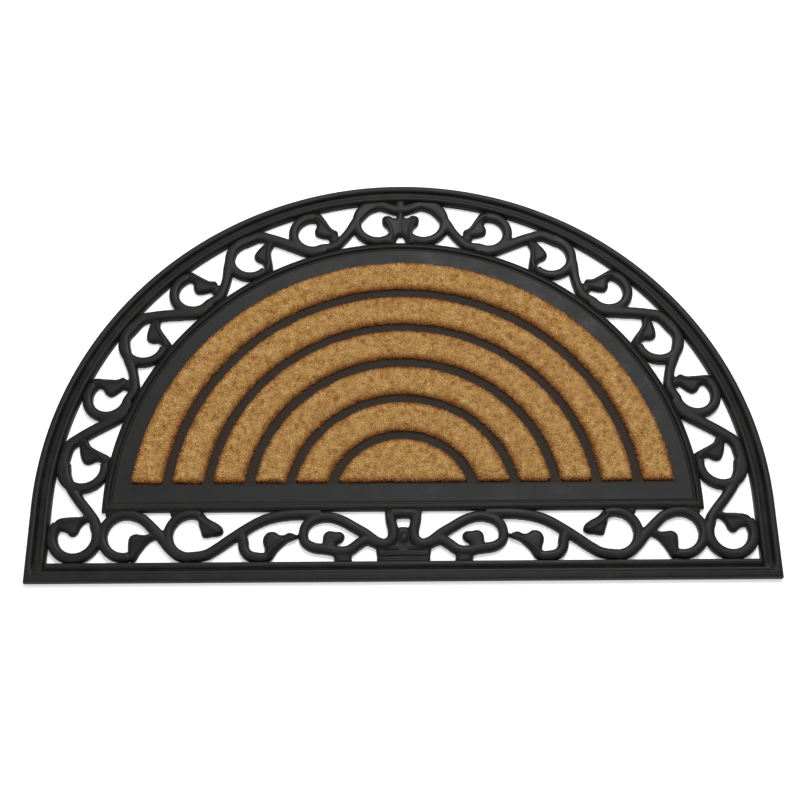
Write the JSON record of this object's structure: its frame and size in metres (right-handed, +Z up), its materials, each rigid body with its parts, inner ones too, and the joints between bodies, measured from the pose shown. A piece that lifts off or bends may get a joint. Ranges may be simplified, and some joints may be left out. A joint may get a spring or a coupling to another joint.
{
  "type": "half-round coir doormat",
  "caption": "Half-round doormat: a black openwork rubber moulding with scrolls, holding raised concentric bands of brown coir pile.",
  "frame": {"origin": "middle of the mat's footprint, on the floor", "axes": "+X along the straight edge, +Y from the straight edge towards the arched edge, +Z up"},
  "size_m": [0.762, 0.461, 0.011],
  "materials": {
    "rubber": "moulded black rubber, satin",
    "coir": "short cut coir pile, golden brown"
  },
  "bodies": {
    "root": {"rubber_moulding": "rubber", "coir_band_1": "coir", "coir_band_2": "coir", "coir_band_3": "coir", "coir_band_4": "coir", "coir_band_5": "coir", "coir_center": "coir"}
  },
  "joints": []
}
